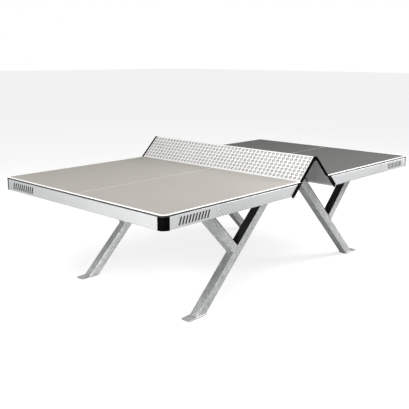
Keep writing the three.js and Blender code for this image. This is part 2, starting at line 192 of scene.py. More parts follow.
class Look:
    """A node material with a Principled shader, and short ways to add the nodes that drive it."""

    def __init__(self, name, color, roughness, metallic=0.0, specular=0.5):
        self.material = bpy.data.materials.new(name)
        self.material.use_nodes = True
        self.nodes = self.material.node_tree.nodes
        self.links = self.material.node_tree.links
        self.shader = self.nodes["Principled BSDF"]
        self.shader.inputs["Base Color"].default_value = (*color, 1)
        self.shader.inputs["Roughness"].default_value = roughness
        self.shader.inputs["Metallic"].default_value = metallic
        self.shader.inputs["Specular IOR Level"].default_value = specular
        self.place = self.nodes.new("ShaderNodeTexCoord").outputs["Object"]

    def put(self, target, value):
        """Links a socket to an input, or sets a constant on it."""
        if isinstance(value, bpy.types.NodeSocket):
            self.links.new(value, target)
        else:
            target.default_value = value

    def stretched(self, scale):
        node = self.nodes.new("ShaderNodeMapping")
        self.links.new(self.place, node.inputs["Vector"])
        node.inputs["Scale"].default_value = scale
        return node.outputs["Vector"]

    def noise(self, size, detail=2.0, rough=0.5, stretch=(1, 1, 1)):
        """Smooth noise, 0 to 1, whose lumps are about `size` metres across."""
        node = self.nodes.new("ShaderNodeTexNoise")
        self.links.new(self.stretched(stretch), node.inputs["Vector"])
        node.inputs["Scale"].default_value = 1 / size
        node.inputs["Detail"].default_value = detail
        node.inputs["Roughness"].default_value = rough
        return node.outputs["Fac"]

    def cells(self, size):
        """Voronoi cells about `size` metres across."""
        node = self.nodes.new("ShaderNodeTexVoronoi")
        self.links.new(self.place, node.inputs["Vector"])
        node.inputs["Scale"].default_value = 1 / size
        return node

    def remap(self, value, low, high, to_low=0.0, to_high=1.0):
        node = self.nodes.new("ShaderNodeMapRange")
        self.put(node.inputs["Value"], value)
        node.inputs["From Min"].default_value = low
        node.inputs["From Max"].default_value = high
        node.inputs["To Min"].default_value = to_low
        node.inputs["To Max"].default_value = to_high
        return node.outputs["Result"]

    def math(self, operation, a, b=0.0, c=0.0):
        node = self.nodes.new("ShaderNodeMath")
        node.operation = operation
        for socket, value in zip(node.inputs, (a, b, c)):
            self.put(socket, value)
        return node.outputs["Value"]

    def axis(self, name):
        node = self.nodes.new("ShaderNodeSeparateXYZ")
        self.links.new(self.place, node.inputs["Vector"])
        return node.outputs[name]

    def mix(self, share, a, b):
        """Colour a where share is 0 and b where it is 1."""
        node = self.nodes.new("ShaderNodeMix")
        node.data_type = "RGBA"
        for socket, value in ((node.inputs[0], share), (node.inputs[6], a), (node.inputs[7], b)):
            if isinstance(value, tuple):
                value = (*value, 1)
            self.put(socket, value)
        return node.outputs[2]

    def colour(self, value):
        self.put(self.shader.inputs["Base Color"], value)

    def roughness(self, value):
        self.put(self.shader.inputs["Roughness"], value)

    def bump(self, height, distance, strength=1.0):
        node = self.nodes.new("ShaderNodeBump")
        node.inputs["Distance"].default_value = distance
        node.inputs["Strength"].default_value = strength
        self.links.new(height, node.inputs["Height"])
        self.links.new(node.outputs["Normal"], self.shader.inputs["Normal"])


def shade(color, factor):
    return tuple(min(1.0, c * factor) for c in color)


def laminate(name, color):
    """Satin compact laminate: faint streaks across the table, soft clouds and a fine tooth."""
    look = Look(name, color, 0.52, specular=0.22)
    streaks = look.noise(0.06, 4, 0.6, stretch=(1, 0.13, 1))
    clouds = look.noise(0.5, 2, 0.5)
    tooth = look.noise(1.6 * MM, 2, 0.6)
    base = look.mix(look.remap(streaks, 0.3, 0.7), shade(color, 0.955), shade(color, 1.045))
    base = look.mix(look.remap(clouds, 0.35, 0.65, 0, 0.5), base, shade(color, 1.05))
    base = look.mix(look.remap(tooth, 0.45, 0.75, 0, 0.35), base, shade(color, 0.9))
    look.colour(base)
    look.roughness(look.remap(streaks, 0.3, 0.7, 0.48, 0.57))
    look.bump(tooth, 0.06 * MM, 0.6)
    return look.material


def painted_line(name):
    """White court paint, slightly chalky, with pinhole wear."""
    color = (0.86, 0.86, 0.84)
    look = Look(name, color, 0.5)
    wear = look.noise(3 * MM, 3, 0.65)
    tone = look.noise(0.05, 2, 0.5)
    base = look.mix(look.remap(tone, 0.3, 0.7), shade(color, 0.97), shade(color, 1.03))
    look.colour(look.mix(look.remap(wear, 0.68, 0.8, 0, 0.4), base, (0.55, 0.54, 0.52)))
    look.roughness(look.remap(wear, 0.3, 0.7, 0.45, 0.58))
    look.bump(wear, 0.05 * MM, 0.5)
    return look.material


def laminate_edge(name):
    """Black core of the laminate, sawn and polished, in thin layers."""
    color = (0.022, 0.021, 0.02)
    look = Look(name, color, 0.5)
    layers = look.noise(0.5 * MM, 2, 0.5, stretch=(0.02, 0.02, 1))
    look.colour(look.mix(look.remap(layers, 0.35, 0.65), color, (0.05, 0.047, 0.044)))
    look.bump(layers, 0.05 * MM, 0.6)
    return look.material


def flecked_metal(name, color):
    """Pale silver coat over folded sheet, with a fine dark fleck. Gives the look, for a print to add to."""
    look = Look(name, color, 0.42, metallic=0.35)
    fleck = look.noise(2.2 * MM, 2, 0.7)
    grain = look.noise(7 * MM, 3, 0.6)
    clouds = look.noise(0.22, 2, 0.5)
    base = look.mix(look.remap(grain, 0.35, 0.65), shade(color, 0.95), shade(color, 1.04))
    base = look.mix(look.remap(fleck, 0.56, 0.72, 0, 0.5), base, shade(color, 0.72))
    base = look.mix(look.remap(clouds, 0.35, 0.65, 0, 0.4), base, shade(color, 1.06))
    look.colour(base)
    look.roughness(look.remap(grain, 0.3, 0.7, 0.36, 0.5))
    look.bump(fleck, 0.08 * MM, 0.7)
    return look


def galvanised(name, light, dark, metallic):
    """Hot-dip zinc: faceted spangle, soft drifts, mottle, a few brown blots and dark specks."""
    look = Look(name, light, 0.42, metallic=metallic)
    spangle = look.cells(11 * MM)
    facet = look.nodes.new("ShaderNodeSeparateColor")
    look.links.new(spangle.outputs["Color"], facet.inputs["Color"])
    drift = look.noise(0.06, 3, 0.6)
    mottle = look.noise(9 * MM, 4, 0.7)
    blots = look.noise(26 * MM, 3, 0.55, stretch=(1, 1, 1.1))
    specks = look.noise(4 * MM, 2, 0.6)
    base = look.mix(look.remap(facet.outputs["Red"], 0, 1), shade(light, 0.82), light)
    base = look.mix(look.remap(drift, 0.38, 0.66, 0, 0.75), base, dark)
    base = look.mix(look.remap(mottle, 0.5, 0.66, 0, 0.7), base, shade(light, 1.22))
    base = look.mix(look.remap(mottle, 0.5, 0.36, 0, 0.65), base, shade(dark, 0.72))
    base = look.mix(look.remap(blots, 0.6, 0.7, 0, 0.65), base, (0.3, 0.285, 0.26))
    base = look.mix(look.remap(specks, 0.66, 0.74, 0, 0.5), base, (0.2, 0.2, 0.2))
    look.colour(base)
    rough = look.remap(facet.outputs["Green"], 0, 1, 0.34, 0.5)
    look.roughness(look.math("ADD", rough, look.remap(mottle, 0.3, 0.7, -0.04, 0.08)))
    look.bump(look.math("ADD", mottle, look.math("MULTIPLY", drift, 0.7)), 0.25 * MM, 0.6)
    return look.material


def weld_metal(name):
    """Weld bead under zinc: brighter and darker ripples."""
    look = Look(name, (0.62, 0.63, 0.64), 0.4, metallic=0.8)
    ripple = look.noise(3 * MM, 3, 0.6)
    look.colour(look.mix(look.remap(ripple, 0.35, 0.65), (0.45, 0.46, 0.47), (0.75, 0.76, 0.77)))
    look.bump(ripple, 0.2 * MM, 0.6)
    return look.material


def moulded(name, color, roughness, grain_size, depth, specular=0.5):
    """Black moulded part: fine pebbled grain, with dust that lightens it a little."""
    look = Look(name, color, roughness, specular=specular)
    grain = look.noise(grain_size, 2, 0.6)
    dust = look.noise(0.07, 3, 0.6)
    look.colour(look.mix(look.remap(dust, 0.4, 0.75, 0, 0.5), color, shade(color, 2.0)))
    look.roughness(look.remap(grain, 0.3, 0.7, roughness - 0.06, roughness + 0.08))
    look.bump(grain, depth, 0.8)
    return look.material


def net_coat(name, color, roughness):
    """Powder coat on the net's sheet and rings, with orange peel and faint clouds. On the rings the
    near-black coat also paints the shade inside the grooves.
    """
    look = Look(name, color, roughness)
    peel = look.noise(2.5 * MM, 2, 0.5)
    clouds = look.noise(0.12, 3, 0.55)
    look.colour(look.mix(look.remap(clouds, 0.3, 0.7), shade(color, 0.965), shade(color, 1.02)))
    look.roughness(look.remap(clouds, 0.3, 0.7, roughness - 0.04, roughness + 0.05))
    look.bump(peel, 0.08 * MM, 0.5)
    return look.material


def between(look, value, low, high):
    """1 where the value is between low and high, 0 elsewhere."""
    above = look.math("GREATER_THAN", value, low)
    below = look.math("LESS_THAN", value, high)
    return look.math("MULTIPLY", above, below)


def slanted_bars(look, along):
    """A row of plain slanted bars at mid height of an apron: 1 on a bar, 0 elsewhere."""
    height = look.axis("Z")
    lean = look.math("MULTIPLY_ADD", height, BAR_LEAN, along)
    bar = look.math("GREATER_THAN", look.math("PINGPONG", lean, BAR_PITCH / 2), BAR_GAP * BAR_PITCH)
    row = between(look, lean, BARS_START, BARS_END)
    tall = between(look, height, BARS_LOW, BARS_HIGH)
    return look.math("MULTIPLY", bar, look.math("MULTIPLY", row, tall))


def end_print(name, color, turn):
    """The flecked coat with a row of bars near one end of an end apron."""
    look = flecked_metal(name, color)
    base = look.shader.inputs["Base Color"].links[0].from_socket
    along = look.math("MULTIPLY_ADD", look.axis("Y"), -turn, END_BARS_SHIFT)
    ink = slanted_bars(look, along)
    look.colour(look.mix(ink, base, BLACK_INK))
    return look.material


def side_print(name, color):
    """The flecked coat with a row of bars near the outer end of a side apron, then two columns of
    dots, then a fine diagonal hatch that fades out towards the net."""
    look = flecked_metal(name, color)
    base = look.shader.inputs["Base Color"].links[0].from_socket
    out = look.math("ABSOLUTE", look.axis("X"))
    height = look.axis("Z")
    bars = slanted_bars(look, out)
    diagonal = look.math("PINGPONG", look.math("SUBTRACT", height, out), HATCH_HALF_PITCH)
    hatch = look.remap(diagonal, 6.5 * MM, 8.5 * MM)
    hatch = look.math("MULTIPLY", hatch, look.math("LESS_THAN", out, HATCH_OUTER))
    hatch = look.math("MULTIPLY", hatch, look.remap(out, HATCH_FADED, HATCH_FULL, 0, HATCH_SHARE))
    lean = look.math("MULTIPLY_ADD", height, DOT_LEAN, out)
    across = look.math("PINGPONG", lean, DOT_HALF_PITCH)
    up = look.math("PINGPONG", height, DOT_HALF_PITCH)
    squares = look.math("MULTIPLY_ADD", across, across, look.math("MULTIPLY", up, up))
    dots = look.math("LESS_THAN", look.math("SQRT", squares), DOT_RADIUS)
    column = between(look, lean, DOTS_INNER, DOTS_OUTER)
    dots = look.math("MULTIPLY", look.math("MULTIPLY", dots, column), DOT_SHARE)
    look.colour(look.mix(look.math("MAXIMUM", hatch, dots), base, GREY_INK))
    base = look.shader.inputs["Base Color"].links[0].from_socket
    look.colour(look.mix(bars, base, BLACK_INK))
    return look.material


TOP_LOOK = {
    "near": laminate("top_light_laminate", LIGHT_GREY),
    "far": laminate("top_dark_laminate", DARK_GREY),
}
LINE_LOOK = painted_line("court_line_paint")
EDGE_LOOK = laminate_edge("laminate_core")
APRON_LOOK = flecked_metal("apron_coat", SILVER).material
ZINC_LOOK = galvanised("galvanised_steel", ZINC_LIGHT, ZINC_DARK, 0.4)
WELD_LOOK = weld_metal("weld_bead")
PLASTIC_LOOK = moulded("black_moulding", (0.0012, 0.0012, 0.0013), 0.5, 0.9 * MM, 0.05 * MM, specular=0.02)
# near-black moulding of the fork liner and bar pad; its black also paints the shade inside the fork and the
# contact shadow between bar and leaf
RUBBER_AND_PAINTED_SHADE_LOOK = moulded("black_rubber_and_painted_shade", (0.021, 0.0215, 0.0215), 0.62, 1.6 * MM, 0.08 * MM, specular=0.35)
NET_LOOK = net_coat("net_white_coat", NET_WHITE, 0.45)
RING_COAT_AND_SHADE_LOOK = net_coat("net_ring_coat_and_painted_shade", RING_BLACK_AND_SHADE, 0.5)
NET_BACK_ZINC_AND_SHADE_LOOK = galvanised("net_back_zinc_and_painted_shade", NET_BACK_SHADED_ZINC_LIGHT, NET_BACK_SHADED_ZINC_DARK, 0.3)
SCREW_LOOK = moulded("black_zinc_screw", (0.05, 0.05, 0.052), 0.32, 0.7 * MM, 0.03 * MM)


# ---- mesh building ----


class Sketch:
    """Points and faces of one piece. A face has the number of the look that it takes."""

    def __init__(self):
        self.points = []
        self.faces = []
        self.looks = []

    def ring(self, points):
        first = len(self.points)
        self.points.extend(points)
        return list(range(first, len(self.points)))

    def face(self, loop, look=0):
        self.faces.append(loop)
        self.looks.append(look)

    def skin(self, a, b, closed=True, look=0):
        """Quads between two rings of the same length."""
        for i in range(len(a) if closed else len(a) - 1):
            j = (i + 1) % len(a)
            self.face([a[i], a[j], b[j], b[i]], look)

    def loft(self, *rings, look=0):
        """A closed solid through rings of points."""
        loops = [self.ring(points) for points in rings]
        for a, b in zip(loops, loops[1:]):
            self.skin(a, b, look=look)
        self.face(loops[0], look)
        self.face(loops[-1], look)

    def pipe(self, outer, inner, place):
        """A closed tube between two ends. outer and inner are rings of the same length, and
        place(point, end) gives the point in space at end 0 or 1."""
        loops = [[self.ring([place(p, end) for p in ring]) for end in (0, 1)] for ring in (outer, inner)]
        for start, end in loops:
            self.skin(start, end)
        for end in (0, 1):
            self.skin(loops[0][end], loops[1][end])

    def strip(self, outer, inner, place):
        """A closed solid of folded sheet between two ends, from the two sides of its section."""
        section = outer + inner[::-1]
        loops = [self.ring([place(p, end) for p in section]) for end in (0, 1)]
        self.skin(*loops)
        n = len(outer)
        for loop in loops:
            for i in range(n - 1):
                self.face([loop[i], loop[i + 1], loop[2 * n - 2 - i], loop[2 * n - 1 - i]])


def arc(centre_a, centre_b, radius, start, end, steps):
    points = []
    for i in range(steps + 1):
        angle = start + (end - start) * i / steps
        points.append((centre_a + radius * math.cos(angle), centre_b + radius * math.sin(angle)))
    return points


def rounded_rectangle(half_a, half_b, radius, steps=4):
    points = []
    for k, (sign_a, sign_b) in enumerate(((1, 1), (-1, 1), (-1, -1), (1, -1))):
        a, b = sign_a * (half_a - radius), sign_b * (half_b - radius)
        points += arc(a, b, radius, k * math.pi / 2, (k + 1) * math.pi / 2, steps)
    return points


def make(name, sketch, looks, turn=1, nodes=(), bevel=0.0, sharp=32):
    """Turns a sketch into a piece on the body, in the place of CAD nodes where some are named."""
    mesh = bpy.data.meshes.new(name)
    mesh.from_pydata([(turn * x, turn * y, z) for x, y, z in sketch.points], [], sketch.faces)
    for look in looks:
        mesh.materials.append(look)
    mesh.polygons.foreach_set("material_index", sketch.looks)
    work = bmesh.new()
    work.from_mesh(mesh)
    bmesh.ops.remove_doubles(work, verts=work.verts, dist=0.01 * MM)
    bmesh.ops.recalc_face_normals(work, faces=work.faces)
    work.to_mesh(mesh)
    work.free()
    mesh.shade_smooth()
    mesh.set_sharp_from_angle(angle=math.radians(sharp))
    piece = bpy.data.objects.new(name, mesh)
    bpy.context.scene.collection.objects.link(piece)
    if bevel:
        modifier = piece.modifiers.new("edges", "BEVEL")
        modifier.width = bevel
        modifier.segments = 2
        modifier.limit_method = "ANGLE"
        modifier.angle_limit = math.radians(sharp)
        modifier.harden_normals = True
    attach(piece, "root")
    if nodes:
        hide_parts(*nodes)


# ---- half tops ----


def half_top(half, turn):
    """Laminate board with softened edges, a white border line on three sides and a centre line."""
    end = HALF_LENGTH
    centre_x = end - CORNER_RADIUS
    centre_y = HALF_WIDTH - CORNER_RADIUS
    split = CENTRE_LINE / 2

    def border(inset, x_net):
        """From the net edge round the outer end and back to the net edge."""
        radius = CORNER_RADIUS - inset
        reach = HALF_WIDTH - inset
        return [
            (x_net, -reach),
            *arc(centre_x, -centre_y, radius, -math.pi / 2, 0, ARC_STEPS),
            (end - inset, -split),
            (end - inset, split),
            *arc(centre_x, centre_y, radius, 0, math.pi / 2, ARC_STEPS),
            (x_net, reach),
        ]

    def net_edge(x_net):
        line = HALF_WIDTH - END_LINE
        return [(x_net, line), (x_net, split), (x_net, -split), (x_net, -line)]

    sketch = Sketch()
    levels = [(1.2, 0.0), (0.4, 0.25), (0.0, 1.2), (0.0, 8.1), (0.9, 9.0)]  # inset and depth, mm
    loops = []
    for inset, down in levels:
        z = SURFACE - down * MM
        x_net = slope_x(BEAM_INNER, z) + inset * MM
        ring = border(inset * MM, x_net) + net_edge(x_net)
        loops.append(sketch.ring([(x, y, z) for x, y in ring]))
    for k, (a, b) in enumerate(zip(loops, loops[1:])):
        sketch.skin(a, b, look=1 if k == 0 else 2)
    sketch.face(loops[-1], 2)
    x_net = slope_x(BEAM_INNER, SURFACE) + levels[0][0] * MM
    inner = sketch.ring([(x, y, SURFACE) for x, y in border(END_LINE, x_net)])
    outer = loops[0][: len(inner)]
    sketch.skin(outer, inner, closed=False, look=1)
    middle = len(inner) // 2
    top = loops[0]
    right_split, left_split = top[len(inner) + 2], top[len(inner) + 1]
    sketch.face([*inner[:middle], right_split], 0)
    sketch.face([inner[middle - 1], inner[middle], left_split, right_split], 1)
    sketch.face([*inner[middle:], left_split], 0)
    looks = [TOP_LOOK[half], LINE_LOOK, EDGE_LOOK]
    make(f"top_{half}_board", sketch, looks, turn, [f"top_{half}"], sharp=40)


# ---- aprons and corners ----


def apron_section(face):
    """Outer and inner side of a folded C, as (distance out, z)."""
    inside = math.copysign(1, face)
    bend = 4 * MM
    steps = 5

    def side(offset):
        radius = bend - offset
        low = arc(0, 0, radius, -math.pi / 2, 0, steps)
        high = arc(0, 0, radius, 0, math.pi / 2, steps)
        points = [(face - inside * APRON_LIP, APRON_BOTTOM + offset)]
        points += [(face - inside * (bend - a), APRON_BOTTOM + bend + b) for a, b in low]
        points += [(face - inside * (bend - a), FRAME_TOP - bend + b) for a, b in high]
        points += [(face - inside * APRON_TOP_FLANGE, FRAME_TOP - offset)]
        return points

    return side(0), side(APRON_SHEET)


def end_apron(half, turn):
    reach = HALF_WIDTH - CORNER_RADIUS - GAP
    sketch = Sketch()
    sketch.strip(*apron_section(HALF_LENGTH), lambda p, end: (p[0], (2 * end - 1) * reach, p[1]))
    look = end_print(f"apron_coat_end_print_{half}", SILVER, turn)
    make(f"end_apron_{half}_sheet", sketch, [look], turn, [f"end_apron_{half}"])


def side_apron(half, turn, side, label):
    far_end = HALF_LENGTH - CORNER_RADIUS - GAP
    sketch = Sketch()

    def place(point, end):
        return (far_end if end else slope_x(BEAM_OUTER + GAP, point[1]), *point)

    sketch.strip(*apron_section(side * HALF_WIDTH), place)
    node = f"side_apron_{label}"
    make(f"{node}_sheet", sketch, [SIDE_PRINT_LOOK], turn, [node])


def box_between(sketch, low, high):
    ring = [(low[0], low[1]), (high[0], low[1]), (high[0], high[1]), (low[0], high[1])]
    sketch.loft([(x, y, low[2]) for x, y in ring], [(x, y, high[2]) for x, y in ring])


def corner_cap(turn, side, label):
    """Quarter-round moulding with a rolled lower rim, a roof and a tongue behind each apron."""
    x0 = HALF_LENGTH - CORNER_RADIUS
    y0 = HALF_WIDTH - CORNER_RADIUS
    outer = CORNER_RADIUS
    profile = [
        (outer - 1.2 * MM, CAP_BOTTOM),
        (outer - 0.3 * MM, CAP_BOTTOM + 0.4 * MM),
        (outer, CAP_BOTTOM + 1.5 * MM),
        (outer, FRAME_TOP - 1.2 * MM),
        (outer - 0.4 * MM, FRAME_TOP - 0.3 * MM),
        (outer - 1.2 * MM, FRAME_TOP),
        (2 * MM, FRAME_TOP),
        (2 * MM, FRAME_TOP - 2.5 * MM),
        (outer - CAP_WALL, FRAME_TOP - 2.5 * MM),
        (outer - CAP_WALL, CAP_BOTTOM + 0.6 * MM),
        (outer - CAP_WALL + 0.8 * MM, CAP_BOTTOM),
    ]
    sketch = Sketch()
    rings = []
    for i in range(ARC_STEPS + 1):
        angle = math.pi / 2 * i / ARC_STEPS
        rings.append([(x0 + r * math.cos(angle), side * (y0 + r * math.sin(angle)), z) for r, z in profile])
    sketch.loft(*rings)
    low, high = APRON_BOTTOM + APRON_SHEET + 1 * MM, FRAME_TOP - APRON_SHEET - 1 * MM
    back = APRON_SHEET + GAP
    thick = 2.5 * MM
    for near, far in (
        ((HALF_LENGTH - back - thick, y0 - CAP_TONGUE), (HALF_LENGTH - back, y0 + 2 * MM)),
        ((x0 - CAP_TONGUE, HALF_WIDTH - back - thick), (x0 + 2 * MM, HALF_WIDTH - back)),
    ):
        ys = sorted((side * near[1], side * far[1]))
        box_between(sketch, (near[0], ys[0], low), (far[0], ys[1], high))
    node = f"corner_cap_{label}"
    make(f"{node}_moulding", sketch, [PLASTIC_LOOK], turn, [node])


# ---- net ----


def net_leaf(half, turn):
    """Sheet leaf whose playing side has rows of small rings pressed into it. Its inner side is zinc,
    darkened to paint the shade inside the net's V.
    """
    meeting = -SIN * LEAF_MEETING
    bend_end = -SIN * CREST_CENTRE
    work = bmesh.new()
    grid = {}

    def point(across, along, y):
        x, z = slope_point(across, along)
        return work.verts.new((x, y, z))

    first_row = meeting + RING_FIRST_ROW
    half_row, half_column = RING_ROW_PITCH / 2, RING_COLUMN_PITCH / 2
    above_first = (first_row - bend_end + RING_OUTER) / 2
    first_column = -(RING_COLUMNS - 1) / 2 * RING_COLUMN_PITCH
    directions = [2 * math.pi * k / RING_STEPS for k in range(RING_STEPS)]
    # radius, rise and look of each ring of points, from the cell's edge inwards
    # look 1, near-black, covers the groove's walls and floor: a dark coat that also paints the shade inside
    # the groove
    steps = [
        (RING_OUTER + 0.5 * MM, 0.0, 0),
        (RING_OUTER, -0.25 * MM, 1),
        (RING_OUTER - 0.5 * MM, -RING_DEPTH, 1),
        (RING_INNER + 0.4 * MM, -RING_DEPTH, 1),
        (RING_INNER, -0.25 * MM, 0),
        (RING_INNER - 0.6 * MM, 0.0, 0),
        (RING_INNER * 0.45, 0.25 * MM, 0),
    ]

    def on_cell_edge(row, column, angle):
        """A point of the grid of cells, shared between the cells that meet there."""
        reach = max(abs(math.cos(angle)), abs(math.sin(angle)))
        half = above_first if row == 0 and math.sin(angle) < 0 else half_row
        along = first_row + row * RING_ROW_PITCH + half * math.sin(angle) / reach
        y = first_column + column * RING_COLUMN_PITCH + half_column * math.cos(angle) / reach
        key = (round(along / MM, 2), round(y / MM, 2))
        if key not in grid:
            grid[key] = point(LEAF_OUTER, along, y)
        return grid[key]

    for row in range(RING_ROWS):
        for column in range(RING_COLUMNS):
            along = first_row + row * RING_ROW_PITCH
            y = first_column + column * RING_COLUMN_PITCH
            loop = [on_cell_edge(row, column, angle) for angle in directions]
            for radius, rise, look in steps:
                inner = [
                    point(LEAF_OUTER + rise, along + radius * math.sin(a), y + radius * math.cos(a))
                    for a in directions
                ]
                for i in range(RING_STEPS):
                    j = (i + 1) % RING_STEPS
                    work.faces.new((loop[i], loop[j], inner[j], inner[i])).material_index = look
                loop = inner
            work.faces.new(loop)

    along_low = first_row - above_first
    along_high = first_row + (RING_ROWS - 1) * RING_ROW_PITCH + half_row
    y_edge = -first_column + half_column

    def edge_points(test, key):
        return sorted((v for (a, y), v in grid.items() if test(a, y)), key=key)

    tolerance = 0.05
    top_row = edge_points(lambda a, y: abs(a - along_low / MM) < tolerance, lambda v: v.co.y)
    bottom_row = edge_points(lambda a, y: abs(a - along_high / MM) < tolerance, lambda v: v.co.y)
    left_side = edge_points(lambda a, y: abs(y - y_edge / MM) < tolerance, lambda v: -v.co.z)
    right_side = edge_points(lambda a, y: abs(y + y_edge / MM) < tolerance, lambda v: -v.co.z)
    corners = [
        point(LEAF_OUTER, along, y)
        for along, y in (
            (bend_end, -LEAF_REACH),
            (bend_end, LEAF_REACH),
            (LEAF_END, LEAF_REACH),
            (LEAF_END, -LEAF_REACH),
        )
    ]
    work.faces.new([corners[0], corners[1], *reversed(top_row)])
    work.faces.new([corners[3], corners[2], *reversed(bottom_row)])
    work.faces.new([corners[1], corners[2], *reversed(left_side)])
    work.faces.new([corners[0], corners[3], *reversed(right_side)])

    def across_table(x, z):
        return [work.verts.new((max(x, GAP / 2), y, z)) for y in (-LEAF_REACH, LEAF_REACH)]

    outside = [across_table(x, z) for x, z in crest_arc(CREST_RADIUS)[:-1]] + [corners[:2], corners[3:1:-1]]
    inside = [across_table(x, z) for x, z in crest_arc(CREST_RADIUS - LEAF_SHEET)]
    inside.append(across_table(*slope_point(LEAF_INNER, LEAF_END)))
    for k in range(len(outside) - 1):
        if k < CREST_STEPS:
            work.faces.new([*outside[k], *reversed(outside[k + 1])])
        work.faces.new([*inside[k], *reversed(inside[k + 1])]).material_index = 2
        for end in (0, 1):
            work.faces.new([outside[k][end], outside[k + 1][end], inside[k + 1][end], inside[k][end]])
    work.faces.new([*outside[0], *reversed(inside[0])])
    work.faces.new([*outside[-1], *reversed(inside[-1])])
    bmesh.ops.recalc_face_normals(work, faces=work.faces)
    sketch = Sketch()
    work.verts.index_update()
    sketch.points = [tuple(v.co) for v in work.verts]
    for f in work.faces:
        sketch.face([v.index for v in f.verts], f.material_index)
    work.free()
    # the inner faces take the darkened zinc, which paints the shade inside the net's V
    looks = [NET_LOOK, RING_COAT_AND_SHADE_LOOK, NET_BACK_ZINC_AND_SHADE_LOOK]
    make(f"net_leaf_{half}_sheet", sketch, looks, turn, [f"net_leaf_{half}"])


def net_beam(half, turn):
    """Hollow sloped beam under the net edge of the top, with its lip below the leaf."""
    outline = [
        (slope_x(BEAM_INNER, FRAME_TOP), FRAME_TOP),
        (slope_x(BEAM_OUTER, FRAME_TOP), FRAME_TOP),
        slope_point(BEAM_OUTER, BEAM_END),
        slope_point(LEAF_INNER, BEAM_END),
        slope_point(LEAF_INNER, LEAF_END + GAP),
        slope_point(BEAM_INNER, LEAF_END + GAP),
    ]
    inner, outer, top = BEAM_INNER + BEAM_WALL, BEAM_OUTER - BEAM_WALL, FRAME_TOP - BEAM_WALL
    bore = [
        (slope_x(inner, top), top),
        (slope_x(outer, top), top),
        slope_point(outer, BEAM_END - BEAM_WALL),
        slope_point((inner + outer) / 2, BEAM_END - BEAM_WALL),
        slope_point(inner, BEAM_END - BEAM_WALL),
        slope_point(inner, LEAF_END + GAP),
    ]
    sketch = Sketch()
    sketch.pipe(outline, bore, lambda p, end: (p[0], (2 * end - 1) * LEAF_REACH, p[1]))
    node = f"net_beam_{half}"
    make(f"{node}_profile", sketch, [APRON_LOOK], turn, [node], bevel=0.7 * MM)


def beam_cap(turn, side, label):
    """Round-ended plate over the beam's end, with its plug and two screws."""
    inner, outer = LEAF_INNER - BEAM_CAP_OVERHANG, BEAM_OUTER
    radius = (outer - inner) / 2
    middle = (outer + inner) / 2
    end = [slope_point(middle + a, BEAM_END - 1 * MM + b) for a, b in arc(0, 0, radius, 0, math.pi, 16)]
    outline = [*((slope_x(edge, BEAM_CAP_HIGH), BEAM_CAP_HIGH) for edge in (inner, outer)), *end]
    face = HALF_WIDTH + TRIM_PLATE - 0.7 * MM
    sketch = Sketch()
    sketch.loft([(x, side * HALF_WIDTH, z) for x, z in outline], [(x, side * face, z) for x, z in outline])
    inset = BEAM_WALL + 0.5 * MM
    plug_inner, plug_outer, top = BEAM_INNER + inset, BEAM_OUTER - inset, FRAME_TOP - inset
    plug = [
        (slope_x(plug_inner, top), top),
        (slope_x(plug_outer, top), top),
        slope_point(plug_outer, BEAM_END - inset),
        slope_point(plug_inner, BEAM_END - inset),
    ]
    sketch.loft(
        [(x, side * (HALF_WIDTH - 12 * MM), z) for x, z in plug],
        [(x, side * (HALF_WIDTH + 0.5 * MM), z) for x, z in plug],
    )
    node = f"net_beam_cap_{label}"
    make(f"{node}_moulding", sketch, [PLASTIC_LOOK], turn, [node], bevel=0.7 * MM)
    top_along = (COS * middle - BEAM_CAP_HIGH) / SIN
    for k, along in enumerate((top_along + 16 * MM, BEAM_END - 2 * MM)):
        x, z = slope_point(middle, along)
        screw(f"{node}_screw_{k + 1}", turn, side, x, z, face)


def screw(name, turn, side, x, z, face):
    """Low button head with a hexagon socket, its axis along Y."""
    # radius and height in mm, and whether the ring is round or has six sides
    rings = [
        (4.4, -0.4, True),
        (4.4, 0.05, True),
        (3.8, 0.4, True),
        (2.9, 0.62, True),
        (2.1, 0.68, False),
        (2.0, -0.3, False),
    ]
    sixth = math.pi / 3
    steps = 24
    sketch = Sketch()
    loops = []
    for radius, height, is_round in rings:
        ring = []
        for i in range(steps):
            angle = 2 * math.pi * i / steps
            flat = 1 if is_round else math.cos(sixth / 2) / math.cos((angle % sixth) - sixth / 2)
            r = radius * flat * MM
            ring.append((x + r * math.cos(angle), side * (face + height * MM), z + r * math.sin(angle)))
        loops.append(ring)
    sketch.loft(*loops)
    make(name, sketch, [SCREW_LOOK], turn, sharp=40)


def mirrored(points):
    """A half outline and its mirror image about the middle of the net, as one ring."""
    opposite = [(-x, z) for x, z in points if abs(x) > 1e-9]
    return points + opposite[::-1]


